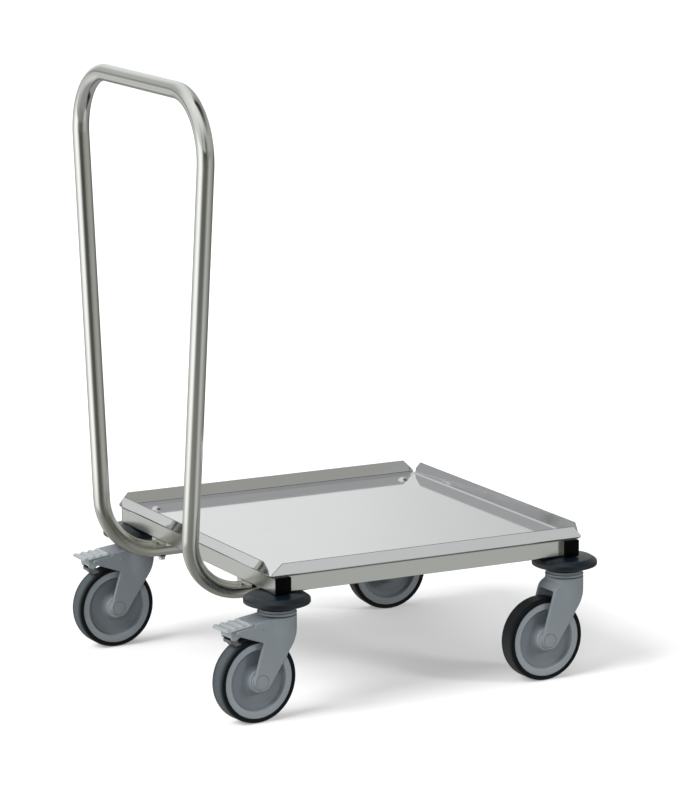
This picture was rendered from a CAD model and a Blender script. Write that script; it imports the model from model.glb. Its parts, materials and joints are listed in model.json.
"""Looks, camera, floor and light for the dish rack dolly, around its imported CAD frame."""
import json
import math

import bmesh
import bpy
import numpy as np
from mathutils import Matrix, Vector


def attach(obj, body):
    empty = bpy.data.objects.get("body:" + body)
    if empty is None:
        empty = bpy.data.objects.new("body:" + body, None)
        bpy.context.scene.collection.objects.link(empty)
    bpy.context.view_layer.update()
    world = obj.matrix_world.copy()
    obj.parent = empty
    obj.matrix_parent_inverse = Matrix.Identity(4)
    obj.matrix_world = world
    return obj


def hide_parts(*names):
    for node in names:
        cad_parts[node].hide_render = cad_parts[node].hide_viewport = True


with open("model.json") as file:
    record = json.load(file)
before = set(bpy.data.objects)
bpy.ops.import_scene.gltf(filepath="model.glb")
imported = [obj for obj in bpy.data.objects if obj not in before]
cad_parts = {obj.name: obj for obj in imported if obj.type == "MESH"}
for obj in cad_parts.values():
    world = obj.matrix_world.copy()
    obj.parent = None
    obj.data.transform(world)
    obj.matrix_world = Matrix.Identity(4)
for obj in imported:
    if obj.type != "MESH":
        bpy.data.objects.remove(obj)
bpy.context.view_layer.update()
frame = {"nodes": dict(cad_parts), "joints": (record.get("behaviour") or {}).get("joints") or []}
nodes = frame["nodes"]
MM = 0.001


# Colours and node helpers

def linear(level):
    """One channel of an 8-bit screen colour, made linear."""
    c = level / 255
    if c <= 0.04045:
        return c / 12.92
    return ((c + 0.055) / 1.055) ** 2.4


def srgb(r, g, b):
    return (linear(r), linear(g), linear(b))


def rgba(colour):
    return (*colour, 1.0)


def shade(colour, k):
    """The colour made k times as bright, without clipping."""
    return tuple(min(c * k, 1.0) for c in colour)


def link(tree, a, b):
    tree.links.new(a, b)


def add(tree, kind, **values):
    """A node with its properties set; in_0, in_1 and so on are the values of its inputs."""
    n = tree.nodes.new(kind)
    for key, value in values.items():
        if key.startswith("in_"):
            n.inputs[int(key[3:])].default_value = value
        else:
            setattr(n, key, value)
    return n


def group_of(name, ins, outs):
    """An empty node group with its sockets, and the group's own input and output node."""
    g = bpy.data.node_groups.new(name, "ShaderNodeTree")
    for label, kind, value in ins:
        s = g.interface.new_socket(name=label, in_out="INPUT", socket_type=kind)
        if value is not None:
            s.default_value = value
    for label, kind in outs:
        g.interface.new_socket(name=label, in_out="OUTPUT", socket_type=kind)
    return g, g.nodes.new("NodeGroupInput"), g.nodes.new("NodeGroupOutput")


def make_grain():
    """Fine lines or speckle, broad patches, and the mean of both.

    Stretch multiplies the place, so a small number along an axis draws lines along that axis."""
    ins = [("Vector", "NodeSocketVector", None), ("Stretch", "NodeSocketVector", (1, 1, 1))]
    outs = [("Fine", "NodeSocketFloat"), ("Patch", "NodeSocketFloat"), ("Mean", "NodeSocketFloat")]
    g, i, o = group_of("grain", ins, outs)
    mul = add(g, "ShaderNodeVectorMath", operation="MULTIPLY")
    link(g, i.outputs["Vector"], mul.inputs[0])
    link(g, i.outputs["Stretch"], mul.inputs[1])
    fine = add(g, "ShaderNodeTexNoise")
    fine.inputs["Scale"].default_value = 1.0
    fine.inputs["Detail"].default_value = 4.0
    fine.inputs["Roughness"].default_value = 0.6
    link(g, mul.outputs[0], fine.inputs["Vector"])
    patch = add(g, "ShaderNodeTexNoise")
    patch.inputs["Scale"].default_value = 14.0
    patch.inputs["Detail"].default_value = 3.0
    link(g, i.outputs["Vector"], patch.inputs["Vector"])
    mean = add(g, "ShaderNodeMath", operation="ADD")
    for k, noise in enumerate((fine, patch)):
        half = add(g, "ShaderNodeMath", operation="MULTIPLY", in_1=0.5)
        link(g, noise.outputs["Fac"], half.inputs[0])
        link(g, half.outputs[0], mean.inputs[k])
    link(g, fine.outputs["Fac"], o.inputs["Fine"])
    link(g, patch.outputs["Fac"], o.inputs["Patch"])
    link(g, mean.outputs[0], o.inputs["Mean"])
    return g


def make_swing():
    """Moves a value either side of its middle by noise."""
    ins = [("Noise", "NodeSocketFloat", 0.5), ("Middle", "NodeSocketFloat", 0.3),
           ("Reach", "NodeSocketFloat", 0.05)]
    g, i, o = group_of("swing", ins, [("Value", "NodeSocketFloat")])
    off = add(g, "ShaderNodeMath", operation="SUBTRACT", in_1=0.5)
    scaled = add(g, "ShaderNodeMath", operation="MULTIPLY")
    total = add(g, "ShaderNodeMath", operation="ADD", use_clamp=True)
    link(g, i.outputs["Noise"], off.inputs[0])
    link(g, off.outputs[0], scaled.inputs[0])
    link(g, i.outputs["Reach"], scaled.inputs[1])
    link(g, scaled.outputs[0], total.inputs[0])
    link(g, i.outputs["Middle"], total.inputs[1])
    link(g, total.outputs[0], o.inputs["Value"])
    return g


def make_wear():
    """Shows a tint as far as the amount says."""
    ins = [("Colour", "NodeSocketColor", None), ("Tint", "NodeSocketColor", None),
           ("Amount", "NodeSocketFloat", 0.0)]
    g, i, o = group_of("wear", ins, [("Colour", "NodeSocketColor")])
    mix = add(g, "ShaderNodeMix", data_type="RGBA")
    link(g, i.outputs["Amount"], mix.inputs[0])
    link(g, i.outputs["Colour"], mix.inputs[6])
    link(g, i.outputs["Tint"], mix.inputs[7])
    link(g, mix.outputs[2], o.inputs["Colour"])
    return g


def make_dirt():
    """Patches of a tint below a height, duller where they are thick."""
    ins = [("Vector", "NodeSocketVector", None), ("Patch", "NodeSocketFloat", 0.5),
           ("Colour", "NodeSocketColor", None), ("Roughness", "NodeSocketFloat", 0.5),
           ("Tint", "NodeSocketColor", None), ("Clear Above", "NodeSocketFloat", 0.1),
           ("Full Below", "NodeSocketFloat", 0.0), ("Amount", "NodeSocketFloat", 0.3),
           ("Dulling", "NodeSocketFloat", 0.2)]
    outs = [("Colour", "NodeSocketColor"), ("Roughness", "NodeSocketFloat")]
    g, i, o = group_of("dirt", ins, outs)
    split = add(g, "ShaderNodeSeparateXYZ")
    link(g, i.outputs["Vector"], split.inputs[0])
    level = add(g, "ShaderNodeMapRange", clamp=True, in_3=0.0)
    link(g, split.outputs["Z"], level.inputs[0])
    link(g, i.outputs["Clear Above"], level.inputs[1])
    link(g, i.outputs["Full Below"], level.inputs[2])
    link(g, i.outputs["Amount"], level.inputs[4])
    thick = add(g, "ShaderNodeMath", operation="MULTIPLY")
    link(g, level.outputs[0], thick.inputs[0])
    link(g, i.outputs["Patch"], thick.inputs[1])
    mix = add(g, "ShaderNodeMix", data_type="RGBA")
    link(g, thick.outputs[0], mix.inputs[0])
    link(g, i.outputs["Colour"], mix.inputs[6])
    link(g, i.outputs["Tint"], mix.inputs[7])
    link(g, mix.outputs[2], o.inputs["Colour"])
    dulled = add(g, "ShaderNodeMath", operation="MULTIPLY_ADD")
    link(g, thick.outputs[0], dulled.inputs[0])
    link(g, i.outputs["Dulling"], dulled.inputs[1])
    link(g, i.outputs["Roughness"], dulled.inputs[2])
    link(g, dulled.outputs[0], o.inputs["Roughness"])
    return g


GRAIN = make_grain()
SWING = make_swing()
WEAR = make_wear()
DIRT = make_dirt()


def swung(tree, noise, middle, reach):
    """A value that noise moves either side of its middle, which is a number or a socket."""
    n = add(tree, "ShaderNodeGroup", node_tree=SWING)
    link(tree, noise, n.inputs["Noise"])
    if isinstance(middle, float):
        n.inputs["Middle"].default_value = middle
    else:
        link(tree, middle, n.inputs["Middle"])
    n.inputs["Reach"].default_value = reach
    return n.outputs[0]


def material(name, colour, rough, metallic=0.0, stretch=(900, 900, 900), colour_reach=0.08, rough_reach=0.1,
             patch_reach=0.1, bump=0.04, bump_depth=0.0003, waves=0.0, specular=0.5, dirt=None, worn=None):
    """A procedural finish: grain and soft patches move its colour, roughness and height.

    worn is (attribute, tint): the piece's own attribute says how far the tint shows.
    dirt is (tint, height, reach, amount, dulling): thickest below the height, gone a reach above it."""
    m = bpy.data.materials.new(name)
    m.use_nodes = True
    t = m.node_tree
    p = t.nodes["Principled BSDF"]
    p.inputs["Metallic"].default_value = metallic
    p.inputs["Specular IOR Level"].default_value = specular
    where = add(t, "ShaderNodeTexCoord")
    grain = add(t, "ShaderNodeGroup", node_tree=GRAIN)
    grain.inputs["Stretch"].default_value = stretch
    link(t, where.outputs["Object"], grain.inputs["Vector"])
    roughness = swung(t, grain.outputs["Fine"], rough, rough_reach)
    roughness = swung(t, grain.outputs["Patch"], roughness, patch_reach)
    tone = add(t, "ShaderNodeMix", data_type="RGBA")
    tone.inputs[6].default_value = rgba(shade(colour, 1 - colour_reach))
    tone.inputs[7].default_value = rgba(shade(colour, 1 + colour_reach))
    link(t, grain.outputs["Mean"], tone.inputs[0])
    out = tone.outputs[2]
    if worn:
        attribute, tint = worn
        mask = add(t, "ShaderNodeAttribute", attribute_name=attribute)
        wear = add(t, "ShaderNodeGroup", node_tree=WEAR)
        wear.inputs["Tint"].default_value = rgba(tint)
        link(t, mask.outputs["Fac"], wear.inputs["Amount"])
        link(t, out, wear.inputs["Colour"])
        out = wear.outputs["Colour"]
    if dirt:
        tint, height, reach, amount, dulling = dirt
        soil = add(t, "ShaderNodeGroup", node_tree=DIRT)
        soil.inputs["Tint"].default_value = rgba(tint)
        soil.inputs["Clear Above"].default_value = height + reach
        soil.inputs["Full Below"].default_value = height
        soil.inputs["Amount"].default_value = amount
        soil.inputs["Dulling"].default_value = dulling
        link(t, where.outputs["Object"], soil.inputs["Vector"])
        link(t, grain.outputs["Patch"], soil.inputs["Patch"])
        link(t, out, soil.inputs["Colour"])
        link(t, roughness, soil.inputs["Roughness"])
        out, roughness = soil.outputs["Colour"], soil.outputs["Roughness"]
    link(t, out, p.inputs["Base Color"])
    link(t, roughness, p.inputs["Roughness"])
    relief = add(t, "ShaderNodeBump")
    relief.inputs["Strength"].default_value = bump
    relief.inputs["Distance"].default_value = bump_depth
    link(t, grain.outputs["Fine"], relief.inputs["Height"])
    if waves:
        broad = add(t, "ShaderNodeTexNoise")
        broad.inputs["Scale"].default_value = 4.0
        broad.inputs["Detail"].default_value = 1.0
        link(t, where.outputs["Object"], broad.inputs["Vector"])
        wavy = add(t, "ShaderNodeBump")
        wavy.inputs["Strength"].default_value = waves
        wavy.inputs["Distance"].default_value = 0.002
        link(t, broad.outputs["Fac"], wavy.inputs["Height"])
        link(t, relief.outputs[0], wavy.inputs["Normal"])
        relief = wavy
    link(t, relief.outputs[0], p.inputs["Normal"])
    return m


DUST = srgb(150, 146, 140)
FRAME_SATIN = dict(colour=(0.62, 0.63, 0.6), rough=0.22, metallic=1.0, colour_reach=0.05, rough_reach=0.14,
                   patch_reach=0.08, bump=0.05)
FINISH = {
    "deck": material("deck_sheet", (0.71, 0.712, 0.725), 0.06, 1.0, stretch=(12, 900, 900),
                     colour_reach=0.05, rough_reach=0.05, patch_reach=0.03, bump=0.015, waves=0.012),
    "cut_edge": material("sheared_edge", (0.2, 0.2, 0.2), 0.45, 1.0, colour_reach=0.1, rough_reach=0.15,
                         bump=0.08),
    "frame": material("frame_satin", stretch=(40, 1500, 1500), **FRAME_SATIN),
    "frame_y": material("frame_satin_across", stretch=(1500, 40, 1500), **FRAME_SATIN),
    "handle": material("handle_polished", (0.65, 0.66, 0.635), 0.1, 1.0, stretch=(1200, 1200, 60),
                       colour_reach=0.05, patch_reach=0.08, bump=0.03,
                       dirt=((0.27, 0.27, 0.2), 0.19, 0.11, 1.0, 0.3)),
    "bright": material("bright_steel", (0.64, 0.64, 0.63), 0.17, 1.0, colour_reach=0.03, rough_reach=0.08),
    "zinc": material("zinc_plate", (0.42, 0.43, 0.44), 0.33, 1.0, rough_reach=0.15, bump=0.08),
    "fork": material("fork_plate", srgb(119, 126, 131), 0.42, 0.15, colour_reach=0.05, bump=0.05,
                     bump_depth=0.0002, specular=0.45, dirt=(DUST, 0.04, 0.06, 0.25, 0.2)),
    "core": material("rim_plastic", srgb(126, 134, 140), 0.42, colour_reach=0.05, rough_reach=0.12, bump=0.06,
                     specular=0.4, dirt=(DUST, 0.0, 0.12, 0.3, 0.2), worn=("dish", srgb(98, 106, 113))),
    "tyre": material("tyre_rubber", srgb(3, 5, 8), 0.5, stretch=(1500, 1500, 1500), colour_reach=0.15,
                     rough_reach=0.15, bump=0.12, specular=0.2, worn=("tread", srgb(74, 81, 85))),
    "bumper": material("bumper_rubber", srgb(6, 15, 22), 0.36, stretch=(1300, 1300, 1300), colour_reach=0.1,
                       rough_reach=0.12, bump=0.1, specular=0.48),
    "pedal": material("pedal_plate", srgb(154, 160, 162), 0.28, 0.35, colour_reach=0.06, rough_reach=0.12,
                      bump=0.08, bump_depth=0.0002),
    "shoe": material("shoe_steel", (0.2, 0.2, 0.21), 0.38, 1.0, colour_reach=0.1, rough_reach=0.15,
                     bump=0.08),
    "plug": material("plug_plastic", srgb(1, 1, 2), 0.4, colour_reach=0.15, rough_reach=0.12, bump=0.1,
                     specular=0.06),
}


def dress(node, key):
    """Gives a CAD node that stays in sight one of the finishes."""
    o = nodes[node]
    o.data.materials.clear()
    o.data.materials.append(FINISH[key])


# Mesh helpers: everything is drawn in millimetres and put in place in its mesh

def put_on_body(mesh, name, body, replaces):
    """The mesh as an object that rides a body and stands in for CAD nodes."""
    o = bpy.data.objects.new(name, mesh)
    bpy.context.scene.collection.objects.link(o)
    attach(o, body)
    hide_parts(*replaces)


def finish_piece(bm, name, key, body, replaces, place=Matrix(), smooth_angle=40):
    """Turns bmesh geometry into a piece; only edges that turn more than the angle stay sharp."""
    mesh = bpy.data.meshes.new(name)
    bmesh.ops.recalc_face_normals(bm, faces=bm.faces)
    bm.to_mesh(mesh)
    bm.free()
    mesh.transform(place @ Matrix.Scale(MM, 4))
    mesh.shade_smooth()
    mesh.set_sharp_from_angle(angle=math.radians(smooth_angle))
    mesh.materials.append(FINISH[key])
    put_on_body(mesh, name, body, replaces)


def rounded(points, n):
    """Outline through (x, y, radius) points, each corner rounded by its radius in n steps."""
    out = []
    k = len(points)
    for i in range(k):
        x, y, r = points[i]
        p, a, b = Vector((x, y)), Vector(points[i - 1][:2]), Vector(points[(i + 1) % k][:2])
        u, v = (a - p), (b - p)
        if r <= 0 or u.length < 1e-6 or v.length < 1e-6:
            out.append((x, y))
            continue
        half = u.angle(v) / 2
        if half > math.radians(88):
            out.append((x, y))
            continue
        d = min(r / math.tan(half), 0.49 * u.length, 0.49 * v.length)
        r = d * math.tan(half)
        u.normalize()
        v.normalize()
        c = p + (u + v).normalized() * (r / math.sin(half))
        s, e = p + u * d - c, p + v * d - c
        a0 = math.atan2(s.y, s.x)
        turn = math.atan2(s.x * e.y - s.y * e.x, s.dot(e))
        angles = [a0 + turn * j / n for j in range(n + 1)]
        out += [(c.x + r * math.cos(a), c.y + r * math.sin(a)) for a in angles]
    return out


def lathe(bm, profile, steps, closed=True):
    """Spins an outline of (radius, height) points about Z."""
    verts = [bm.verts.new((r, 0, h)) for r, h in profile]
    pairs = zip(verts, verts[1:] + verts[:1]) if closed else zip(verts, verts[1:])
    edges = [bm.edges.new(p) for p in pairs]
    bmesh.ops.spin(bm, geom=verts + edges, cent=(0, 0, 0), axis=(0, 0, 1), angle=math.tau, steps=steps,
                   use_merge=True, use_duplicate=False)
    bmesh.ops.remove_doubles(bm, verts=bm.verts, dist=1e-4)


def add_copy(bm, part):
    """Adds the geometry of one bmesh to another."""
    mesh = bpy.data.meshes.new("copy")
    part.to_mesh(mesh)
    bm.from_mesh(mesh)
    bpy.data.meshes.remove(mesh)


# Signed distances, and a mesh drawn where one is zero

def smax(a, b, k):
    """The larger of two distances, blended where they are within k of each other."""
    h = np.clip(0.5 + 0.5 * (a - b) / k, 0, 1)
    return b + (a - b) * h + k * h * (1 - h)


def smin(a, b, k):
    """The smaller of two distances, blended in the same way."""
    return -smax(-a, -b, k)


def capsule(x, z, a, ra, b, rb):
    """Signed distance to two discs and the area between their outer tangents."""
    px, pz = x - a[0], z - a[1]
    bx, bz = b[0] - a[0], b[1] - a[1]
    h = bx * bx + bz * bz
    qx, qz = np.abs(px * bz - pz * bx) / h, (px * bx + pz * bz) / h
    d = ra - rb
    cx = math.sqrt(h - d * d)
    k = cx * qz - d * qx
    n = qx * qx + qz * qz
    to_b = np.sqrt(np.maximum(h * (n + 1 - 2 * qz), 0)) - rb
    return np.where(k < 0, np.sqrt(h * n) - ra, np.where(k > cx, to_b, cx * qx + d * qz - ra))


def convex(x, z, points):
    """Signed distance to a convex outline, its corners listed anticlockwise."""
    d = None
    for a, b in zip(points, points[1:] + points[:1]):
        l = math.hypot(b[0] - a[0], b[1] - a[1])
        e = ((x - a[0]) * (b[1] - a[1]) - (z - a[1]) * (b[0] - a[0])) / l
        d = e if d is None else np.maximum(d, e)
    return d


def outline_distance(x, z, points):
    """Signed distance to any closed outline."""
    best, inside = None, np.zeros(np.shape(x), bool)
    for a, b in zip(points, points[1:] + points[:1]):
        ex, ez = b[0] - a[0], b[1] - a[1]
        wx, wz = x - a[0], z - a[1]
        t = np.clip((wx * ex + wz * ez) / (ex * ex + ez * ez), 0, 1)
        d = np.hypot(wx - ex * t, wz - ez * t)
        best = d if best is None else np.minimum(best, d)
        crosses_at = ex * (z - a[1]) / (ez or 1e-9) + a[0]
        inside ^= ((a[1] > z) != (b[1] > z)) & (x < crosses_at)
    return np.where(inside, -best, best)


def net(f, lo, hi, h, name):
    """Closed quad mesh where f is zero, one vertex in each grid cell that the surface crosses."""
    lo, hi = np.array(lo, float), np.array(hi, float)
    n = np.ceil((hi - lo) / h).astype(int) + 1
    ax = [lo[i] + h * np.arange(n[i]) for i in range(3)]
    d = f(*np.meshgrid(*ax, indexing="ij"))
    neg = d < 0
    offs = [(i, j, k) for i in (0, 1) for j in (0, 1) for k in (0, 1)]
    m = n - 1
    count = sum(neg[i:m[0] + i, j:m[1] + j, k:m[2] + k].astype(np.int8) for i, j, k in offs)
    cell = np.argwhere((count > 0) & (count < 8))
    index = np.full(m, -1, np.int64)
    index[tuple(cell.T)] = np.arange(len(cell))
    corner = {o: d[tuple((cell + o).T)] for o in offs}
    total, hits = np.zeros((len(cell), 3)), np.zeros(len(cell))
    for a in offs:
        for axis in range(3):
            if a[axis]:
                continue
            b = tuple(1 if q == axis else a[q] for q in range(3))
            da, db = corner[a], corner[b]
            cross = (da < 0) != (db < 0)
            t = np.where(cross, da / np.where(cross, da - db, 1), 0)
            p = np.array(a, float) + np.outer(t, [1.0 if q == axis else 0.0 for q in range(3)])
            total += p * cross[:, None]
            hits += cross
    v = lo + h * (cell + total / hits[:, None])
    step = 0.02

    def slope(q):
        """How the distance changes with x, y and z."""
        return np.stack([(f(*(q + e).T) - f(*(q - e).T)) / (2 * step) for e in np.eye(3) * step], 1)

    # Each vertex moves to the surface, by no more than 0.6 of a cell along each axis
    start = v.copy()
    for _ in range(3):
        g = slope(v)
        v = v - g * (f(*v.T) / np.maximum((g * g).sum(1), 0.05))[:, None]
        v = start + np.clip(v - start, -0.6 * h, 0.6 * h)
    quads = []
    for axis in range(3):
        u, w = [q for q in range(3) if q != axis]
        cut = [slice(1, n[q] - 1) for q in range(3)]
        cut[axis] = slice(0, n[axis] - 1)
        ahead = list(cut)
        ahead[axis] = slice(1, n[axis])
        at = np.argwhere(neg[tuple(cut)] != neg[tuple(ahead)])
        at = at + np.array([c.start for c in cut])
        inner = neg[tuple(at.T)]
        eu, ew = np.zeros(3, int), np.zeros(3, int)
        eu[u], ew[w] = 1, 1
        ring = np.stack([index[tuple(q.T)] for q in (at - eu - ew, at - ew, at, at - eu)], 1)
        flip = inner if axis != 1 else ~inner
        ring[~flip] = ring[~flip][:, ::-1]
        quads.append(ring)
    quads = np.vstack(quads)
    normals = slope(v)
    normals /= np.maximum(np.linalg.norm(normals, axis=1), 1e-9)[:, None]
    mesh = bpy.data.meshes.new(name)
    mesh.from_pydata(v.tolist(), [], quads.tolist())
    mesh.update()
    return mesh, normals


def net_piece(f, lo, hi, h, name, key, body, replaces, place):
    """A piece from a signed distance, shaded by the distance's own slope."""
    mesh, normals = net(f, lo, hi, h, name)
    mesh.transform(place @ Matrix.Scale(MM, 4))
    mesh.shade_smooth()
    turn = np.array(place.to_3x3())
    mesh.normals_split_custom_set_from_vertices((normals @ turn.T).tolist())
    mesh.materials.append(FINISH[key])
    put_on_body(mesh, name, body, replaces)


# The corners, from the frame's own joints

JOINT = {j["name"]: j for j in frame["joints"]}
BRAKED = ("rear_left", "rear_right")
CORNERS = {}
for c in (*BRAKED, "front_right", "front_left"):
    px, py, _ = JOINT["swivel_" + c]["pos_m"]
    rx, ry, _ = JOINT["roll_" + c]["axis"]
    CORNERS[c] = (px, py, math.atan2(-rx, ry))


def on_corner(c, turned=True):
    """A swivel axis at the floor, turned with its caster or square to the frame."""
    px, py, steer = CORNERS[c]
    return Matrix.Translation((px, py, 0)) @ Matrix.Rotation(steer if turned else 0, 4, "Z")


def across_caster(c, point):
    """Z along a caster's axle or pin, at a point of its side view."""
    at = Matrix.Translation((point[0] * MM, 0, point[1] * MM))
    return on_corner(c) @ at @ Matrix.Rotation(math.pi / 2, 4, "X")


# Sizes in millimetres, the main ones as in the part's source. A caster's side view has x from its
# swivel axis and z from the floor.

MID_X, TRAY_Z, SHEET = 29.25, 210.0, 1.5
CROWN_TOP, CROWN_R = 153.0, 28.5
ARM_OUT, ARM_IN = 24.0, 19.0
WHEEL_R, WHEEL_ROOM_R = 62.5, 73.0
AXLE = (-39.0, WHEEL_R)
LOW, KNEE, FRONT, SHOULDER = (-37.5, 63.5), (-10.0, 104.0), (0.5, 127.0), (-15.0, 130.0)
LOW_R, BEND_R, SHOULDER_R = 14.5, 15.0, 17.5
PIVOT, PIVOT_BORE_R = (-75.0, 140.0), 2.05
TREAD_ROOT, TREAD_LONG, TREAD_SLOPE = (-51.5, 150.3), 45.0, math.radians(6)
BRAKE_TRAVEL = 12
MOVING_GAP = 0.5
FORK_GRID, BRAKE_GRID = 0.8, 0.55


def about(point, centre, degrees):
    """A point of the side view turned about a centre."""
    t = math.radians(degrees)
    dx, dz = point[0] - centre[0], point[1] - centre[1]
    return (centre[0] + dx * math.cos(t) - dz * math.sin(t), centre[1] + dx * math.sin(t) + dz * math.cos(t))


def from_tread_root(x, z, degrees=0):
    """Place along a pedal's tread and square to it, with the pedal tipped down by an angle."""
    root, t = about(TREAD_ROOT, PIVOT, degrees), TREAD_SLOPE + math.radians(degrees)
    dx, dz = x - root[0], z - root[1]
    return dx * math.cos(t) + dz * math.sin(t), -dx * math.sin(t) + dz * math.cos(t)


def arms(x, z):
    """Signed distance to a fork's arms in side view."""
    d = capsule(x, z, LOW, LOW_R, SHOULDER, SHOULDER_R)
    d = np.minimum(d, capsule(x, z, LOW, LOW_R, KNEE, BEND_R))
    d = np.minimum(d, capsule(x, z, KNEE, BEND_R, FRONT, BEND_R))
    d = np.minimum(d, capsule(x, z, SHOULDER, SHOULDER_R, FRONT, BEND_R))
    return np.minimum(d, convex(x, z, [LOW, KNEE, FRONT, SHOULDER]))


def cheeks(x, z):
    """The same for the cheeks that carry a brake's pivot, under a roof that slopes up to the crown."""
    d = capsule(x, z, SHOULDER, SHOULDER_R, PIVOT, 6)
    roof = (TREAD_ROOT[0] + 0.8, TREAD_ROOT[1] - 1)
    top = [roof, (roof[0], roof[1] - 20), (0, CROWN_TOP - 20), (0, CROWN_TOP - 2),
           (roof[0] + 30, roof[1] + 30 * math.tan(TREAD_SLOPE))]
    return smin(d, outline_distance(x, z, top), 2)


def fork_distance(braked):
    """Signed distance to a fork: crown and arms, less the room for what turns in it."""
    crown_side = [(-24, 92), (2, 92), (13, 103), (28.5, 131), (29, 156), (-24, 156)]
    crown_low, neck_top, neck_long, neck_in = CROWN_TOP - 58, CROWN_TOP - 18, 40, 11
    head_room_r, head_room_z, sleeve_bore_r = 17.5, 132.7, 10.05
    seat_r, seat_deep = 10.4, 1.2

    def f(x, y, z):
        r = np.hypot(x, y)
        from_axle = np.hypot(x - AXLE[0], z - AXLE[1])
        side = arms(x, z)
        if braked:
            side = smin(side, cheeks(x, z), 1.5)
        plate = smax(side, np.abs(y) - ARM_OUT, 2.2)
        # Below the crown its round front narrows into the flat arms
        drop = np.clip((neck_top - z) / neck_long, 0, 1)
        crown = smax(r - (CROWN_R - neck_in * drop * drop), crown_low - z, 2)
        crown = smax(crown, convex(x, z, crown_side), 3)
        body = smin(plate, crown, 5)
        body = smax(body, z - CROWN_TOP, 1.2)
        wheel_room = smax(from_axle - WHEEL_ROOM_R, np.abs(y) - ARM_IN, 3)
        body = smax(body, -wheel_room, 1.2)
        head_room = np.maximum(r - head_room_r, z - head_room_z)
        body = np.maximum(body, -head_room)
        body = np.maximum(body, sleeve_bore_r - r)
        if braked:
            brake_room = np.maximum(x - (TREAD_ROOT[0] + 0.8), AXLE[1] - z)
            body = smax(body, -smax(brake_room, np.abs(y) - ARM_IN, 2), 1)
            for degrees in (0, BRAKE_TRAVEL):
                along, up = from_tread_root(x, z, degrees)
                body = smax(body, -np.maximum(along - 0.4, -4.7 - up), 0.8)
        axle_seat = np.maximum(from_axle - seat_r, ARM_OUT - seat_deep - np.abs(y))
        return smax(body, -axle_seat, 0.5)
    return f


def build_forks():
    """The four forks, two of them with cheeks for a brake."""
    for c in CORNERS:
        braked = c in BRAKED
        lo = (-83, -31, 46) if braked else (-56, -31, 46)
        net_piece(fork_distance(braked), lo, (31, 31, 156), FORK_GRID, "fork_body_" + c, "fork",
                  "caster_" + c, ["fork_" + c], on_corner(c))


def mirrored(side):
    """A lathe outline and its reflection below zero height."""
    return side + [(r, -h, q) for r, h, q in side[::-1]]


def clamped(v):
    """The value, kept between 0 and 1."""
    return min(max(v, 0), 1)


def build_wheels():
    """Core, tyre and axle; outlines are of (radius, height from the middle, corner radius)."""
    core = mirrored([(6.05, 18.5, 0.2), (13.2, 18.5, 0.8), (13.6, 16.6, 0.3), (16.4, 16.6, 0.8),
                     (18.0, 8.6, 2.6), (23, 4.2, 5), (36.0, 3.0, 6), (43.6, 5.4, 3), (45.6, 13.05, 0.8),
                     (55.5, 13.25, 0.3)])
    tyre = mirrored([(55.3, 13.25, 0.1), (55.5, 14.1, 0.3), (57.2, 15.0, 0.9), (61.2, 14.6, 3.0),
                     (WHEEL_R, 10.5, 3.5), (WHEEL_R, 5, 0)])
    axle = mirrored([(0, 24, 0), (10.1, 24, 0.5), (10.1, 22, 0), (4, 22, 0)])
    for c in CORNERS:
        place = across_caster(c, AXLE)
        bm = bmesh.new()
        lathe(bm, rounded(core, 6), 144)
        # The web, set back between hub and rim, takes the darker tint: fully within 7 of the middle
        dish = bm.verts.layers.float.new("dish")
        for v in bm.verts:
            v[dish] = clamped((12 - abs(v.co.z)) / 5)
        finish_piece(bm, "wheel_disc_" + c, "core", "wheel_" + c, ["wheel_core_" + c], place)
        bm = bmesh.new()
        lathe(bm, rounded(tyre, 6), 144)
        # The treads are scuffed pale towards their middle, the front ones hardly
        tread = bm.verts.layers.float.new("tread")
        for v in bm.verts:
            v[tread] = clamped((14.6 - abs(v.co.z)) / 12) * (1 if c in BRAKED else 0.1)
        finish_piece(bm, "tyre_ring_" + c, "tyre", "wheel_" + c, ["tyre_" + c], place)
        bm = bmesh.new()
        lathe(bm, rounded(axle, 4), 64, closed=False)
        finish_piece(bm, "axle_pin_" + c, "fork", "caster_" + c, ["axle_" + c], place)


def build_bumpers():
    """Bumper and swivel head, whose low cup rises round the bumper's boss.

    Outlines are of (radius, height, corner radius)."""
    disc = rounded([(6.2, 158.5, 0.5), (25.2, 158.5, 0.4), (25.2, 162.4, 0.2), (26, 163, 0.4), (26.5, 165, 1),
                    (30, 166.5, 2), (45, 169, 2.5), (48.5, 170.6, 1.5), (48.5, 177.2, 3.4), (41, 182.2, 6),
                    (13.5, 185, 1), (6.2, 185, 0.3)], 6)
    sleeve = [(6.2, 154), (10, 154), (10, 132.2), (6.2, 132.2)]
    head = rounded([(10, 154, 0), (26.8, 154, 0.4), (28.5, 155.4, 0.5), (28.5, 157.8, 0.9),
                    (26.6, 158.6, 0.5), (26.4, 162, 0.5), (25.3, 162, 0.2), (25.3, 158.5, 0),
                    (10, 158.5, 0)], 4)
    for c in CORNERS:
        place = on_corner(c, turned=False)
        bm = bmesh.new()
        lathe(bm, disc, 128)
        finish_piece(bm, "bumper_disc_" + c, "bumper", "chassis", ["bumper_" + c], place)
        bm = bmesh.new()
        lathe(bm, head, 128)
        lathe(bm, sleeve, 96)
        finish_piece(bm, "swivel_ring_" + c, "fork", "chassis", ["swivel_head_" + c], place)


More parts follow.
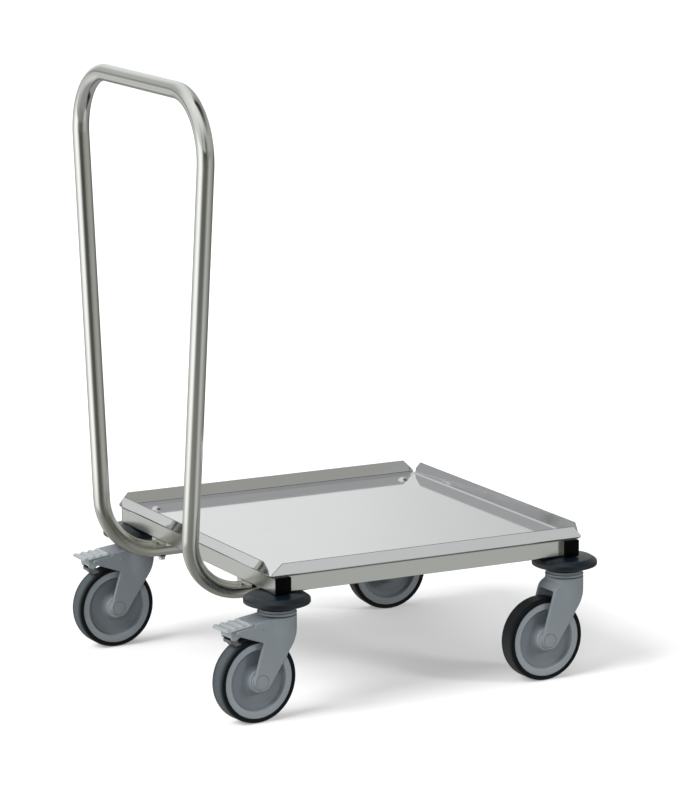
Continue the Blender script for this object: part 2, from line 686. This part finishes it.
def pedal_distance(x, y, z):
    """Tread with rounded ribs, walls on the pivot and the front between them."""
    along, up = from_tread_root(x, z)
    rib_high, rib_pitch, thick = 2.2, TREAD_LONG / 3.7, 4.2
    s = (along + TREAD_LONG) / rib_pitch
    hump = np.clip(np.sin(math.pi * np.clip((s % 1.0) / 0.66, 0, 1)), 0, 1) ** 0.45
    ribbed = (np.abs(y) < 19.5) & (s < 3.85) & (s > -0.02)
    rib = np.where(ribbed, rib_high * (hump - 1), -rib_high)
    tread = smax(np.maximum(-TREAD_LONG - along, along), np.abs(y) - 21, 2.2)
    tread = smax(tread, np.maximum((up - rib) * 0.75, -thick - up), 0.8)
    px, pz = x - PIVOT[0], z - PIVOT[1]
    wall = outline_distance(px, pz, [(-11, 3.2), (-9.5, -11.5), (-4, -13.7), (8, -8), (9, 5)])
    walls = smax(wall, np.abs(np.abs(y) - 12.5) - 1.5, 0.8)
    front = outline_distance(px, pz, [(-11, 3.2), (-9.8, -9), (-6.8, -9), (-8, 3.2)])
    front = smax(front, np.abs(y) - 14, 0.8)
    boss = smax(np.hypot(px, pz) - 4.5, np.maximum(np.abs(y) - 18.5, 11 - np.abs(y)), 0.6)
    body = smin(tread, smin(walls, smin(front, boss, 1), 1), 1.5)
    shoe_room = outline_distance(px, pz, [(-6.5, -20), (12, -20), (9, 3.5), (-6.5, 3.5)])
    body = np.maximum(body, -np.maximum(shoe_room, np.abs(y) - 11))
    return np.maximum(body, PIVOT_BORE_R - np.hypot(px, pz))


def shoe_distance(x, y, z):
    """Shoe with its neck on the pivot, hollowed so that it stops short of the tyre when it is down."""
    px, pz = x - PIVOT[0], z - PIVOT[1]
    d = outline_distance(px, pz, [(-3.2, 0), (-5, -11.5), (-9, -13), (-8.3, -18), (-4, -19.5), (1, -26),
                                  (9, -26), (9, -18.5), (3.5, -17), (3.2, 0)])
    d = smin(d, np.hypot(px, pz) - 3.2, 0.5)
    axle = about(AXLE, PIVOT, -BRAKE_TRAVEL)
    d = np.maximum(d, WHEEL_R + MOVING_GAP - np.hypot(x - axle[0], z - axle[1]))
    d = np.maximum(d, PIVOT_BORE_R - np.hypot(px, pz))
    return smax(d, np.abs(y) - 10.7, 0.8)


def build_brakes():
    """Pedal and shoe, and in one piece the pivot pin and the rivet ends on the fork's sides."""
    pin = mirrored([(0, 24.2, 0), (1.7, 24.2, 0.5), (2.0, 23.6, 0.2)])
    rivet_end = [(0, 24.4, 0), (1.6, 24.4, 0.4), (1.6, 23.4, 0), (0, 23.4, 0)]
    rivet_at = (-36, 139)
    for c in BRAKED:
        net_piece(pedal_distance, (-99, -23, 124), (-49, 23, 153), BRAKE_GRID, "pedal_tread_" + c, "pedal",
                  "brake_" + c, ["brake_pedal_" + c], on_corner(c))
        net_piece(shoe_distance, (-87, -13, 112), (-63, 13, 145), BRAKE_GRID, "shoe_block_" + c, "shoe",
                  "brake_" + c, ["brake_shoe_" + c], on_corner(c))
        bm = bmesh.new()
        lathe(bm, rounded(pin, 4), 32, closed=False)
        rivet = bmesh.new()
        lathe(rivet, rounded(rivet_end, 4), 24, closed=False)
        bmesh.ops.translate(rivet, verts=rivet.verts, vec=(rivet_at[0] - PIVOT[0], rivet_at[1] - PIVOT[1], 0))
        add_copy(bm, rivet)
        bmesh.ops.scale(rivet, verts=rivet.verts, vec=(1, 1, -1))
        add_copy(bm, rivet)
        rivet.free()
        finish_piece(bm, "pivot_pin_" + c, "zinc", "caster_" + c, ["brake_pin_" + c], across_caster(c, PIVOT))


def build_tray():
    """One sheet: deck, flat corners and four leaning flanges, thickened downwards and outwards."""
    bm = bmesh.new()
    lean, fold_r, flange_high = math.radians(10), 2.5, 21.0
    flat, cross_half, long_half = 253.0, 244.0, 257.0
    cross_cut, long_cut = 11.0, 16.0
    top = flange_high - SHEET * math.sin(lean)
    turns = [math.radians(80) * i / 8 for i in range(9)]
    fold = [(flat + fold_r * math.sin(a), SHEET + fold_r * (1 - math.cos(a))) for a in turns]
    x0, z0 = fold[-1]

    def flange(quarter, half, corner):
        """Fold and flange on one side, its two top corners cut off."""
        cut = flange_high - corner
        heights = [cut, top] if cut > z0 + 0.5 else [top]
        rows = []
        for u, z in fold + [(x0 + (z - z0) * math.tan(lean), z) for z in heights]:
            end = half - max(0.0, z - cut)
            rows.append([bm.verts.new(Matrix.Rotation(math.pi / 2 * quarter, 3, "Z") @ Vector((u, v, z)))
                         for v in (-end, end)])
        for a, b in zip(rows, rows[1:]):
            bm.faces.new((a[0], b[0], b[1], a[1]))

    for quarter in (0, 2):
        flange(quarter, cross_half, cross_cut)
    for quarter in (1, 3):
        flange(quarter, long_half, long_cut)
    xs, ys = [-long_half, -flat, flat, long_half], [-flat, -cross_half, cross_half, flat]
    for i in range(3):
        for j in range(3):
            if i != 1 and j == 1:
                continue
            square = ((xs[i], ys[j]), (xs[i + 1], ys[j]), (xs[i + 1], ys[j + 1]), (xs[i], ys[j + 1]))
            bm.faces.new([bm.verts.new((x, y, SHEET)) for x, y in square])
    bmesh.ops.remove_doubles(bm, verts=bm.verts, dist=0.01)
    bmesh.ops.recalc_face_normals(bm, faces=bm.faces)
    if sum(f.normal.z for f in bm.faces if abs(f.normal.z) > 0.9) < 0:
        bmesh.ops.reverse_faces(bm, faces=bm.faces)
    mesh = bpy.data.meshes.new("tray_sheet")
    bm.to_mesh(mesh)
    bm.free()
    mesh.shade_smooth()
    mesh.materials.append(FINISH["deck"])
    mesh.materials.append(FINISH["cut_edge"])
    # The modifiers are baked: thickness, eased edges, and normals that keep the flat areas flat
    flat_sheet = bpy.data.objects.new("flat_sheet", mesh)
    bpy.context.scene.collection.objects.link(flat_sheet)
    thick = flat_sheet.modifiers.new("thick", "SOLIDIFY")
    thick.thickness, thick.offset, thick.use_even_offset, thick.material_offset_rim = SHEET, -1, True, 1
    edge = flat_sheet.modifiers.new("edge", "BEVEL")
    edge.width, edge.segments, edge.limit_method, edge.angle_limit = 0.3, 2, "ANGLE", math.radians(50)
    flat_sheet.modifiers.new("normals", "WEIGHTED_NORMAL").weight = 90
    evaluated = flat_sheet.evaluated_get(bpy.context.evaluated_depsgraph_get())
    baked = bpy.data.meshes.new_from_object(evaluated)
    bpy.data.objects.remove(flat_sheet)
    baked.name = "tray_sheet"
    baked.transform(Matrix.Translation((MID_X * MM, 0, TRAY_Z * MM)) @ Matrix.Scale(MM, 4))
    baked.shade_smooth()
    put_on_body(baked, "tray_sheet", "chassis", ["tray"])


def build_tray_bolts():
    """Four domed heads on their seats, each with its shank."""
    dome_r, dome_high, shank_r, shank_end = 9.5, 4.5, 4, 198.6
    out_x, out_y = 215.0, 212.0
    seat = TRAY_Z + SHEET - 0.3
    ball_r = (dome_r ** 2 + dome_high ** 2) / (2 * dome_high)
    turns = [math.asin(9.3 / ball_r) * i / 12 for i in range(13)]
    dome = [(ball_r * math.sin(a), seat + dome_high - ball_r * (1 - math.cos(a))) for a in turns]
    foot = [(dome_r, seat + 0.35), (9.4, seat), (shank_r, seat), (shank_r, shank_end), (0, shank_end)]
    bm = bmesh.new()
    for sx in (-1, 1):
        for sy in (-1, 1):
            one = bmesh.new()
            lathe(one, dome + foot, 64, closed=False)
            bmesh.ops.translate(one, verts=one.verts, vec=(MID_X + sx * out_x, sy * out_y, 0))
            add_copy(bm, one)
            one.free()
    finish_piece(bm, "tray_domes", "bright", "chassis", ["tray_bolts"])


def build_handle():
    """Bent tube: foot, bend, leg, bend and bar, in a plane that leans about each foot."""
    lean = math.atan(76.5 / 727.0)
    tube_r, bore_r, recess = 12.5, 10.9, 18
    low_bend, top_bend, leg, foot_end = 85.0, 92.0, 543.83, -122.25
    # Where the axes of one foot and its leg would meet
    x0, y0, z0 = -304.75, 142.5, 168.5
    bm = bmesh.new()

    def pull(edges, way, grow=1.0):
        """Extrudes edges along a way, then scales them about the foot's axis; gives the new edges."""
        out = bmesh.ops.extrude_edge_only(bm, edges=edges)["geom"]
        verts = [g for g in out if isinstance(g, bmesh.types.BMVert)]
        new = set(verts)
        bmesh.ops.translate(bm, verts=verts, vec=way)
        if grow != 1.0:
            bmesh.ops.scale(bm, verts=verts, vec=(1, grow, grow), space=Matrix.Translation((0, -y0, -z0)))
        return [g for g in out if isinstance(g, bmesh.types.BMEdge) and set(g.verts) <= new]

    def bend(edges, centre, axis, angle, steps):
        """Spins edges about an axis; gives the edges at its end."""
        verts = list({v for e in edges for v in e.verts})
        out = bmesh.ops.spin(bm, geom=verts + edges, cent=centre, axis=axis, angle=angle, steps=steps,
                             use_merge=False, use_duplicate=False)["geom_last"]
        return [g for g in out if isinstance(g, bmesh.types.BMEdge)]

    # A disc closes each foot, set back in its open end
    start = Matrix.Translation((foot_end - recess, y0, z0)) @ Matrix.Rotation(math.pi / 2, 4, "Y")
    ring = bmesh.ops.create_circle(bm, segments=64, radius=bore_r, matrix=start)["verts"]
    first = list({e for v in ring for e in v.link_edges})
    bmesh.ops.contextual_create(bm, geom=first)
    edges = pull(first, (recess, 0, 0))
    edges = pull(edges, (0, 0, 0), tube_r / bore_r)
    edges = pull(edges, (x0 + low_bend - foot_end, 0, 0))
    edges = bend(edges, (x0 + low_bend, y0, z0 + low_bend), (0, 1, 0), math.pi / 2, 28)
    edges = pull(edges, (0, 0, leg))
    edges = bend(edges, (x0, y0 - top_bend, z0 + low_bend + leg), (1, 0, 0), math.pi / 2 + lean, 30)
    bmesh.ops.rotate(bm, verts=bm.verts, cent=(x0, y0, z0), matrix=Matrix.Rotation(-lean, 3, "X"))
    last = {v for e in edges for v in e.verts}
    pull(edges, (0, -sum(v.co.y for v in last) / len(last), 0))
    bmesh.ops.mirror(bm, geom=bm.verts[:] + bm.edges[:] + bm.faces[:], merge_dist=0.01, axis="Y")
    finish_piece(bm, "handle_bow", "handle", "chassis", ["handle_tube"], smooth_angle=60)


def build_plugs():
    """The heads of the four plugs in the end tubes."""
    wide, thick = 25, 2.2
    out_x, out_y, middle_z = 239.5, 256.9, 197.5
    bm = bmesh.new()
    for sx in (-1, 1):
        for sy in (-1, 1):
            made = bmesh.ops.create_cube(bm, size=1)["verts"]
            bmesh.ops.scale(bm, verts=made, vec=(wide, thick, wide))
            along = [e for e in bm.edges if all(v in made for v in e.verts)
                     and abs(e.verts[0].co.y - e.verts[1].co.y) > 1]
            out = bmesh.ops.bevel(bm, geom=along, offset=2, offset_type="OFFSET", segments=4, profile=0.5,
                                  affect="EDGES", material=-1)
            made = list({v for f in out["faces"] for v in f.verts} | {v for v in made if v.is_valid})
            bmesh.ops.translate(bm, verts=made, vec=(MID_X + sx * out_x, sy * out_y, middle_z))
    sharp = [e for e in bm.edges if len(e.link_faces) == 2 and e.calc_face_angle(0) > math.radians(60)]
    bmesh.ops.bevel(bm, geom=sharp, offset=0.6, offset_type="OFFSET", segments=3, profile=0.5,
                    affect="EDGES", clamp_overlap=True, material=-1)
    finish_piece(bm, "plug_heads", "plug", "chassis", ["tube_plugs"])


DRESS = {
    "end_tube_rear": "frame_y", "end_tube_front": "frame_y", "side_rail_left": "frame",
    "side_rail_right": "frame", "cross_rail": "frame_y", "corner_gussets": "frame", "tray_nuts": "zinc",
    "handle_plugs": "plug", "handle_saddles": "bright", "handle_bolts": "zinc", "handle_washers": "zinc",
    "handle_nuts": "zinc", "caster_bolts": "zinc", "caster_nuts": "zinc", "keeper_washers": "zinc",
}
for node, key in DRESS.items():
    dress(node, key)
for c in CORNERS:
    dress("swivel_balls_" + c, "bright")
    dress("hub_sleeve_" + c, "zinc")
for c in BRAKED:
    dress("brake_spring_" + c, "zinc")

build_forks()
build_wheels()
build_bumpers()
build_brakes()
build_tray()
build_tray_bolts()
build_handle()
build_plugs()


# Camera, fitted to the photograph: the angle from -Y towards -X and the height angle that it stands
# at, its distance in metres, and its focal length in the photograph's pixels

AZIMUTH, ELEVATION, DISTANCE = math.radians(28.1687), math.radians(11.4922), 5.7521
TARGET = Vector((-0.0134245, -0.0598216, 0.4137292))
FOCAL, PHOTO_WIDE, SENSOR_WIDE = 3899.1, 680, 36.0
back = Vector((-math.sin(AZIMUTH) * math.cos(ELEVATION), -math.cos(AZIMUTH) * math.cos(ELEVATION),
               math.sin(ELEVATION)))
cam = bpy.data.cameras.new("camera")
cam.sensor_width, cam.sensor_fit = SENSOR_WIDE, "HORIZONTAL"
cam.lens = FOCAL * SENSOR_WIDE / PHOTO_WIDE
cam.clip_end = 200
cam_obj = bpy.data.objects.new("camera", cam)
cam_obj.location = TARGET + back * DISTANCE
cam_obj.rotation_euler = back.to_track_quat("Z", "Y").to_euler()
bpy.context.scene.collection.objects.link(cam_obj)
bpy.context.scene.camera = cam_obj


# Floor and light

def build_floor():
    """A floor 60 metres wide that shows paler than it lights, and stays out of reflections."""
    bm = bmesh.new()
    bmesh.ops.create_grid(bm, x_segments=2, y_segments=2, size=30)
    mesh = bpy.data.meshes.new("floor")
    bm.to_mesh(mesh)
    bm.free()
    m = bpy.data.materials.new("floor_pale")
    m.use_nodes = True
    t = m.node_tree
    p = t.nodes["Principled BSDF"]
    p.inputs["Roughness"].default_value = 0.8
    p.inputs["Specular IOR Level"].default_value = 0.1
    path = add(t, "ShaderNodeLightPath")
    pale = add(t, "ShaderNodeMix", data_type="RGBA")
    pale.inputs[6].default_value = (0.6, 0.6, 0.6, 1)
    pale.inputs[7].default_value = (0.9, 0.9, 0.905, 1)
    link(t, path.outputs["Is Camera Ray"], pale.inputs[0])
    link(t, pale.outputs[2], p.inputs["Base Color"])
    part = add(t, "ShaderNodeMath", operation="MULTIPLY", in_1=0.3)
    glow = add(t, "ShaderNodeEmission")
    both = add(t, "ShaderNodeMixShader")
    link(t, path.outputs["Is Camera Ray"], part.inputs[0])
    link(t, part.outputs[0], both.inputs[0])
    link(t, p.outputs[0], both.inputs[1])
    link(t, glow.outputs[0], both.inputs[2])
    link(t, both.outputs[0], t.nodes["Material Output"].inputs["Surface"])
    mesh.materials.append(m)
    o = bpy.data.objects.new("floor", mesh)
    o.visible_glossy = False
    bpy.context.scene.collection.objects.link(o)


def build_world():
    """Studio surroundings by compass direction, one ring of brightness for each band of height.

    They are bright on the photograph's left and pale behind the dolly. Towards the camera, at -118
    degrees, they are dark near the horizon, with a paler band above. The camera itself sees white."""
    w = bpy.data.worlds.new("studio")
    bpy.context.scene.world = w
    w.use_nodes = True
    t = w.node_tree
    where = add(t, "ShaderNodeTexCoord")
    split = add(t, "ShaderNodeSeparateXYZ")
    link(t, where.outputs["Generated"], split.inputs[0])
    angle = add(t, "ShaderNodeMath", operation="ARCTAN2")
    link(t, split.outputs["Y"], angle.inputs[0])
    link(t, split.outputs["X"], angle.inputs[1])
    turn = add(t, "ShaderNodeMath", operation="MULTIPLY_ADD", in_1=1 / math.tau, in_2=0.5)
    link(t, angle.outputs[0], turn.inputs[0])

    def ring(stops):
        """Brightness by compass angle, in degrees from -180 to 180."""
        ramp = add(t, "ShaderNodeValToRGB")
        link(t, turn.outputs[0], ramp.inputs[0])
        e = ramp.color_ramp.elements
        while len(e) < len(stops):
            e.new(0.5)
        for item, (deg, v) in zip(e, stops):
            item.position = (deg + 180) / 360
            item.color = (v, v * 1.01, v * (0.93 if v < 0.5 else 1), 1)
        return ramp.outputs[0]

    def blend(a, b, z0, z1):
        """From a at height z0 to b at z1, where height is the sine of the direction's elevation."""
        f = add(t, "ShaderNodeMapRange", clamp=True, interpolation_type="SMOOTHSTEP")
        f.inputs[1].default_value, f.inputs[2].default_value = z0, z1
        link(t, split.outputs["Z"], f.inputs[0])
        m = add(t, "ShaderNodeMix", data_type="RGBA")
        link(t, f.outputs[0], m.inputs[0])
        for value, socket in ((a, m.inputs[6]), (b, m.inputs[7])):
            if isinstance(value, float):
                socket.default_value = (value, value, value, 1)
            else:
                link(t, value, socket)
        return m.outputs[2]

    low = ring([(-180, 1.45), (-165, 1.2), (-154, 0.6), (-142, 0.25), (-127, 0.15), (-101, 0.15),
                (-88, 0.25), (-75, 0.48), (-60, 0.6), (-40, 0.5), (-25, 0.42), (-8, 0.3), (15, 0.18),
                (60, 0.18), (95, 0.45), (112, 0.7), (126, 0.75), (140, 1.0), (158, 1.4), (180, 1.45)])
    level = ring([(-180, 1.4), (-165, 1.3), (-152, 0.7), (-138, 0.12), (-115, 0.08), (-95, 0.16), (-80, 0.34),
                  (-62, 0.42), (-35, 0.45), (-10, 0.42), (20, 0.45), (48, 0.45), (57, 0.6), (60, 0.74),
                  (62, 0.88), (65, 0.95), (70, 0.97), (92, 0.9), (102, 0.5), (110, 0.36), (132, 0.36),
                  (142, 0.6), (158, 1.3), (180, 1.4)])
    mid = ring([(-180, 0.95), (-155, 0.8), (-138, 0.4), (-130, 0.6), (-115, 0.6), (-106, 0.25),
                (-95, 0.2), (-75, 0.45), (-60, 0.55), (-30, 0.5), (20, 0.45), (48, 0.45), (57, 0.6),
                (60, 0.74), (62, 0.88), (65, 0.93), (88, 0.9), (100, 0.6), (126, 0.52), (142, 0.9),
                (180, 0.95)])
    high = ring([(-180, 1.1), (-110, 1.0), (-80, 0.9), (-60, 0.5), (-42, 0.12), (-20, 0.05), (6, 0.05),
                 (32, 0.5), (60, 0.95), (90, 0.95), (130, 1.0), (180, 1.1)])
    floor_near = ring([(-180, 0.5), (-150, 0.35), (-95, 0.25), (-72, 0.6), (-60, 0.72), (-48, 0.65),
                       (-25, 0.35), (90, 0.35), (105, 0.85), (125, 0.85), (140, 0.7), (180, 0.5)])
    under = blend(blend(0.4, floor_near, -0.85, -0.6), low, -0.42, -0.3)
    sky = blend(blend(blend(under, level, -0.1, 0.03), mid, 0.11, 0.18), high, 0.35, 0.9)
    # Full strength for the camera and for reflections, less for diffuse light
    path = add(t, "ShaderNodeLightPath")
    seen = add(t, "ShaderNodeMix", data_type="RGBA")
    seen.inputs[7].default_value = (1, 1, 1, 1)
    link(t, path.outputs["Is Camera Ray"], seen.inputs[0])
    link(t, sky, seen.inputs[6])
    link(t, seen.outputs[2], t.nodes["Background"].inputs["Color"])
    sharp = add(t, "ShaderNodeMath", operation="MAXIMUM")
    link(t, path.outputs["Is Camera Ray"], sharp.inputs[0])
    link(t, path.outputs["Is Glossy Ray"], sharp.inputs[1])
    strength = add(t, "ShaderNodeMath", operation="MULTIPLY_ADD", in_1=0.7, in_2=0.3)
    link(t, sharp.outputs[0], strength.inputs[0])
    link(t, strength.outputs[0], t.nodes["Background"].inputs["Strength"])


def build_sun(name, azimuth, elevation, strength, angle):
    """A sun that reflections don't show; all angles in degrees, the last one is its width."""
    d = bpy.data.lights.new(name, "SUN")
    d.energy, d.angle = strength, math.radians(angle)
    o = bpy.data.objects.new(name, d)
    a, e = math.radians(azimuth), math.radians(elevation)
    towards = Vector((math.cos(a) * math.cos(e), math.sin(a) * math.cos(e), math.sin(e)))
    o.rotation_euler = towards.to_track_quat("Z", "Y").to_euler()
    o.visible_glossy = False
    bpy.context.scene.collection.objects.link(o)


build_floor()
build_world()
build_sun("key", -172, 42, 3.7, 32)
build_sun("fill", -50, 28, 1.25, 12)
build_sun("front", -122, 20, 0.8, 20)
build_sun("top", 120, 80, 0.9, 60)

view = bpy.context.scene.view_settings
view.view_transform = "Standard"
view.look = "None"
view.exposure = 0.0
view.gamma = 1.0
bpy.context.scene.use_nodes = False
